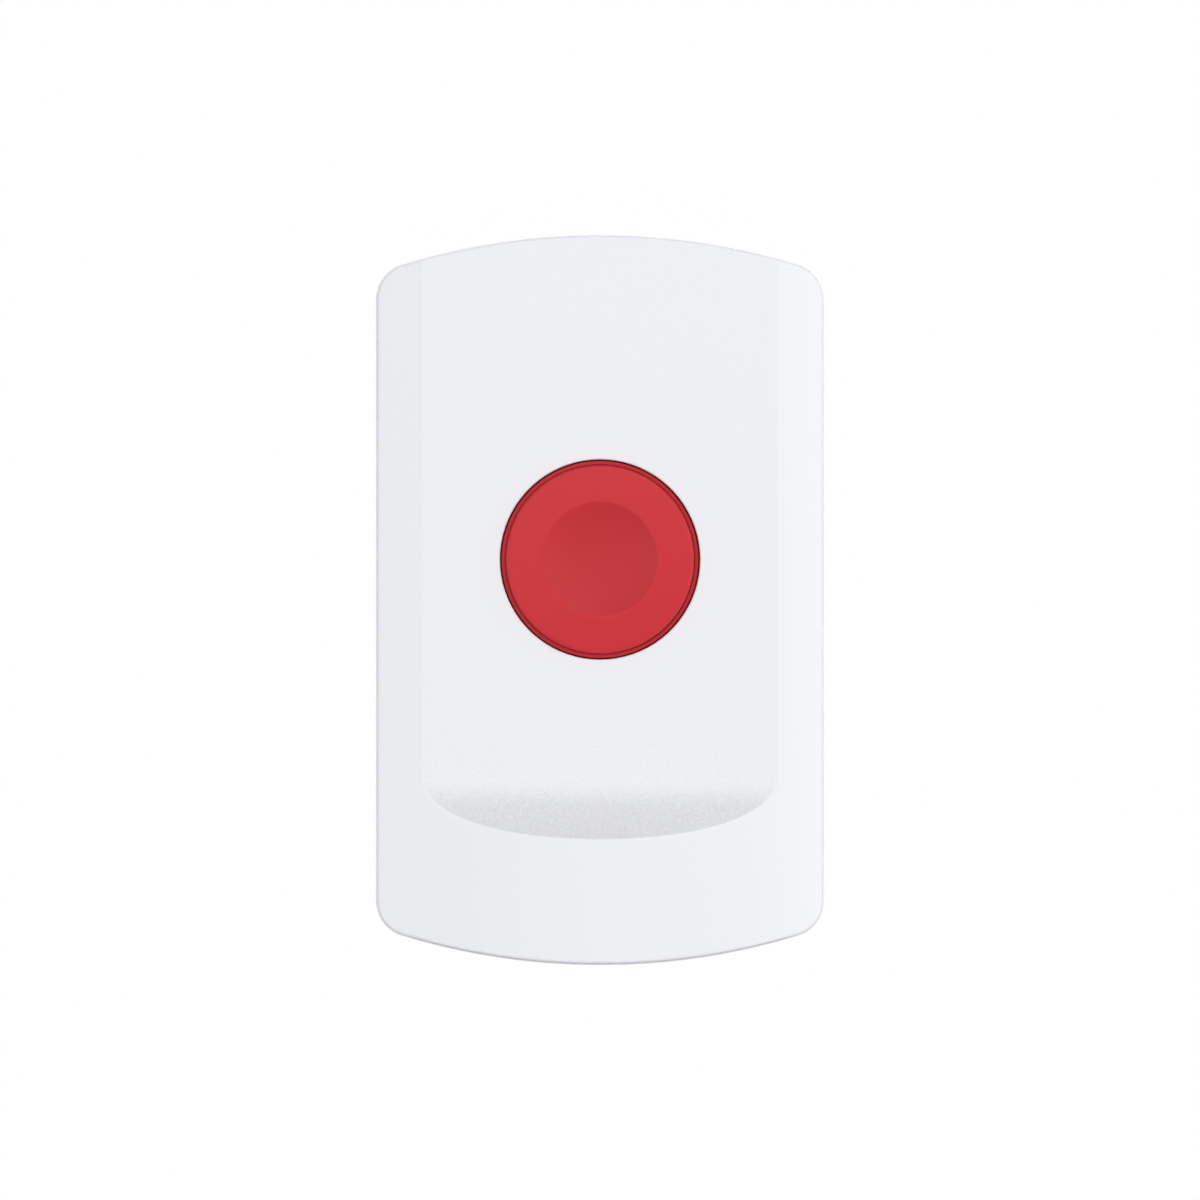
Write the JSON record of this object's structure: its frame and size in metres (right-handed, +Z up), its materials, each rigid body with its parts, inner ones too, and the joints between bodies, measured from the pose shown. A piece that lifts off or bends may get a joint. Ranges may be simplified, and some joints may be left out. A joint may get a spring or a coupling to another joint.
{
  "type": "wireless panic button",
  "caption": "White wall-mounted wireless panic button: scooped, crowned cover clipped over a wall plate, with a round red push cap above a tactile switch.",
  "frame": {"origin": "middle of the wall plate's back face, on the wall", "axes": "+Z up the body, X across it, +Y into the wall; the front faces -Y"},
  "size_m": [0.05, 0.019, 0.0814],
  "materials": {
    "cover_plastic": "satin panel, polished sides",
    "plate_plastic": "fine moulded matt",
    "cap_plastic": "satin red, moulded in colour",
    "black_plastic": "moulded",
    "board_laminate": "green solder mask",
    "chip_epoxy": "moulded epoxy",
    "chip_ceramic": "fired",
    "spring_steel": "drawn, plated",
    "stamped_steel": "stamped",
    "tinned_metal": "tinned",
    "screw_steel": "zinc plated",
    "cell_steel": "drawn, nickel plated",
    "can_aluminium": "drawn"
  },
  "bodies": {
    "housing": {"front_cover": "cover_plastic", "wall_plate": "plate_plastic", "return_spring": "spring_steel", "switch_base": "black_plastic", "switch_cover": "stamped_steel", "contact_dome": "spring_steel", "switch_terminals": "tinned_metal", "circuit_board": "board_laminate", "board_screws": "screw_steel", "battery_holder": "black_plastic", "coin_cell": "cell_steel", "positive_contact": "spring_steel", "negative_contact": "spring_steel", "radio_chip": "chip_epoxy", "crystal": "stamped_steel", "capacitors": "chip_ceramic", "matching_coils": "chip_ceramic", "reservoir_capacitor": "can_aluminium", "antenna_coil": "tinned_metal"},
    "button": {"button_cap": "cap_plastic"},
    "plunger": {"switch_plunger": "black_plastic"}
  },
  "joints": [
    {"name": "button_press", "type": "slide", "parent": "housing", "child": "button", "axis": [0, 1, 0], "range_m": [0, 0.001], "stiffness_N_per_m": 900, "springref_m": -0.002, "deforming": ["return_spring"]},
    {"name": "plunger_slide", "type": "slide", "parent": "housing", "child": "plunger", "axis": [0, 1, 0], "range_m": [0, 0.001]}
  ],
  "couplings": [
    {"joint": "plunger_slide", "follows": "button_press", "ratio": 1}
  ]
}
